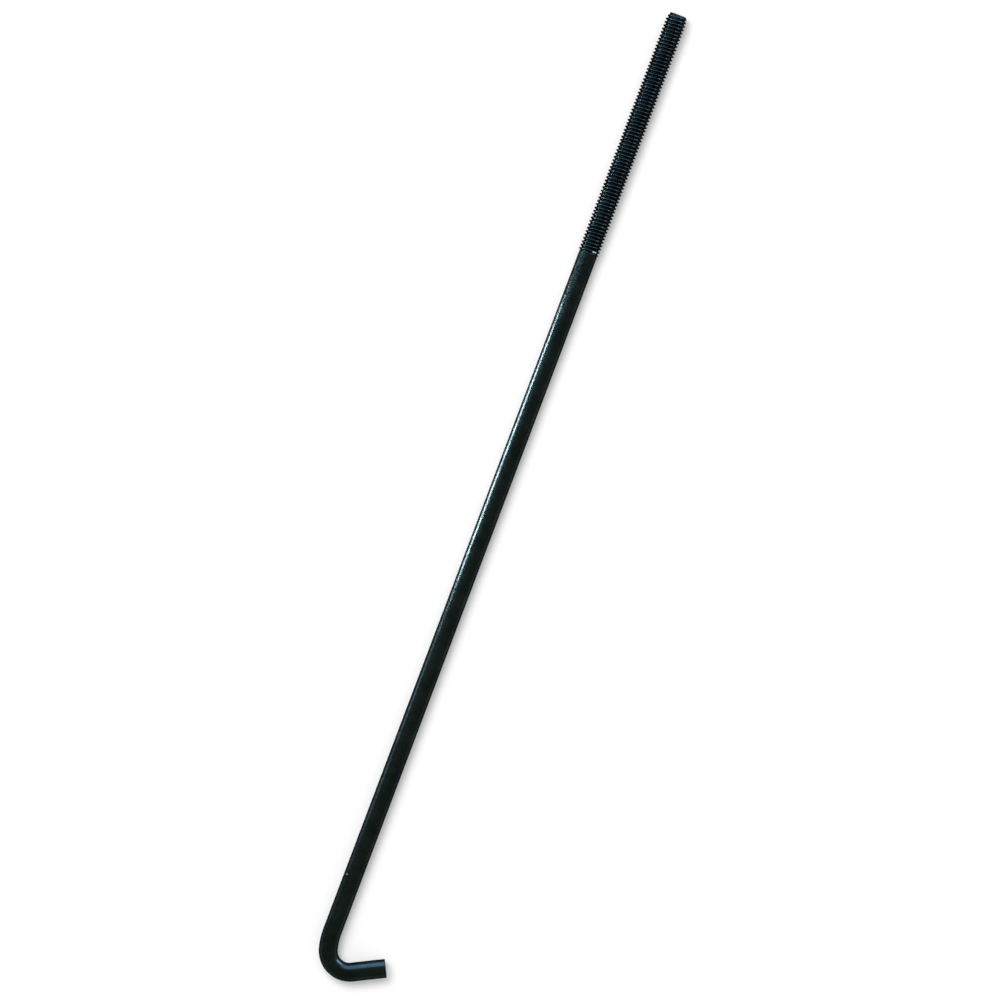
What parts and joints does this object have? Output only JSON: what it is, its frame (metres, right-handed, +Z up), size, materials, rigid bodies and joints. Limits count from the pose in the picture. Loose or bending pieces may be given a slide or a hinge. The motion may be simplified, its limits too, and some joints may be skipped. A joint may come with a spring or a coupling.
{
  "type": "j bolt",
  "caption": "Long round steel rod with a rolled thread at one end and a short hook bent back towards the shank at the other, for holding down or hanging.",
  "frame": {"origin": "centre of the outline seen from above, on the surface that the bolt lies on", "axes": "+Y along the straight shank towards the threaded end, +X to the side that the hook's leg points to, +Z up from the surface"},
  "size_m": [0.0344, 0.45, 0.0095],
  "materials": {
    "black_oxide_steel": "black oxide, lightly oiled, on a drawn bar with a rolled thread"
  },
  "bodies": {
    "root": {"j_bolt": "black_oxide_steel"}
  },
  "joints": []
}
